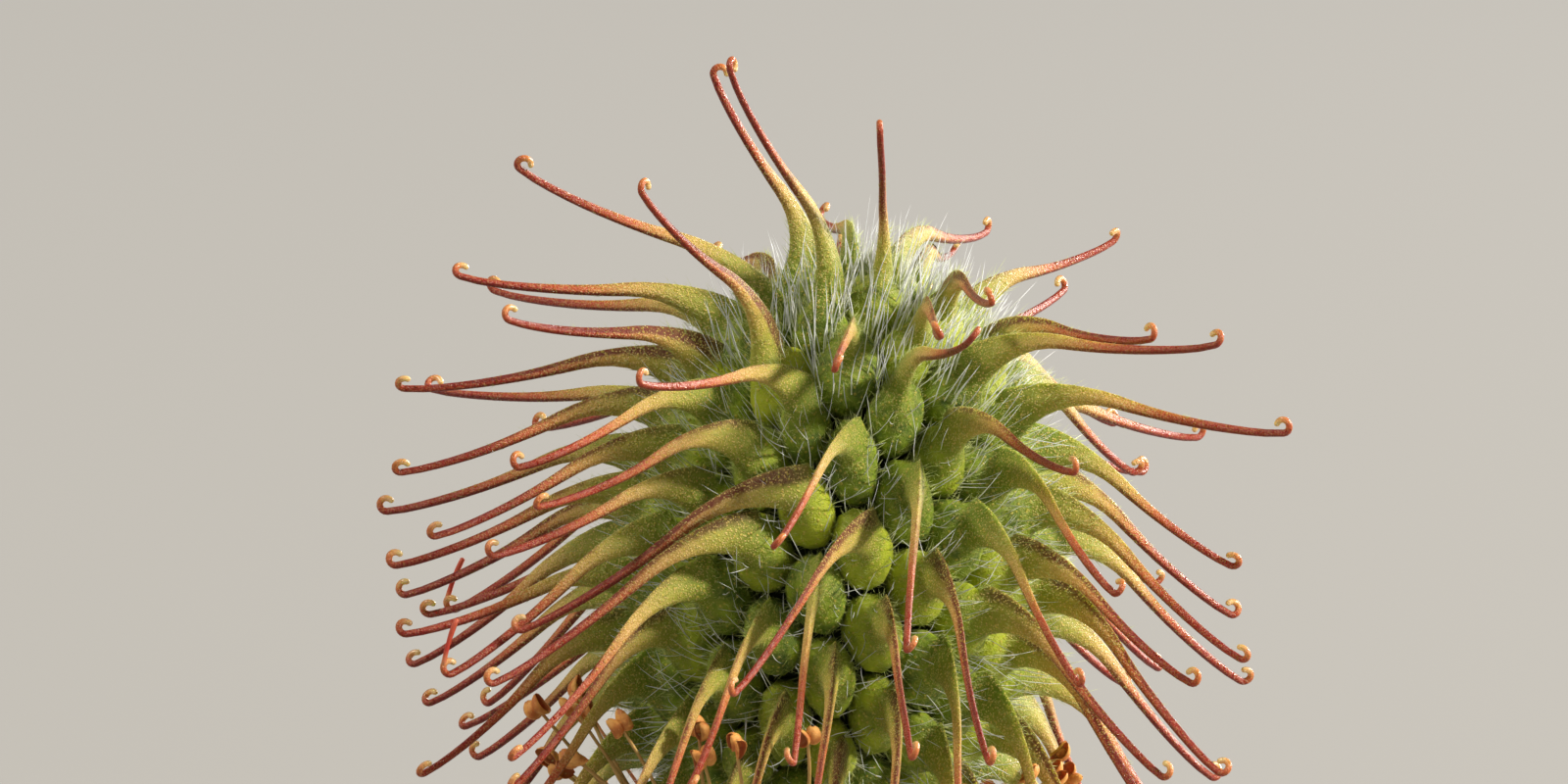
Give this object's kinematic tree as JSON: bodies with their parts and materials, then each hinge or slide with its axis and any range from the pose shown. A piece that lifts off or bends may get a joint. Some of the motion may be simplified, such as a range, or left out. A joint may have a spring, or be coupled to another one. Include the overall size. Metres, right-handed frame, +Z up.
{
  "type": "seed burr",
  "caption": "Round head of hairy achenes whose long styles end in small hooks, on a bent-back calyx, dry stamens and a short cut stem.",
  "frame": {"origin": "on the floor, below the middle of the head, where the lowest hooks stand", "axes": "+Z up along the head's axis from the cut stem to the crown; -Y towards the pictured side"},
  "size_m": [0.0183, 0.0188, 0.0197],
  "materials": {
    "achene": "satin",
    "stamen": "matte",
    "calyx": "matte",
    "stem": "matte"
  },
  "bodies": {
    "root": {"achene_head": "achene", "stamens": "stamen", "calyx": "calyx", "stem": "stem"}
  },
  "joints": []
}
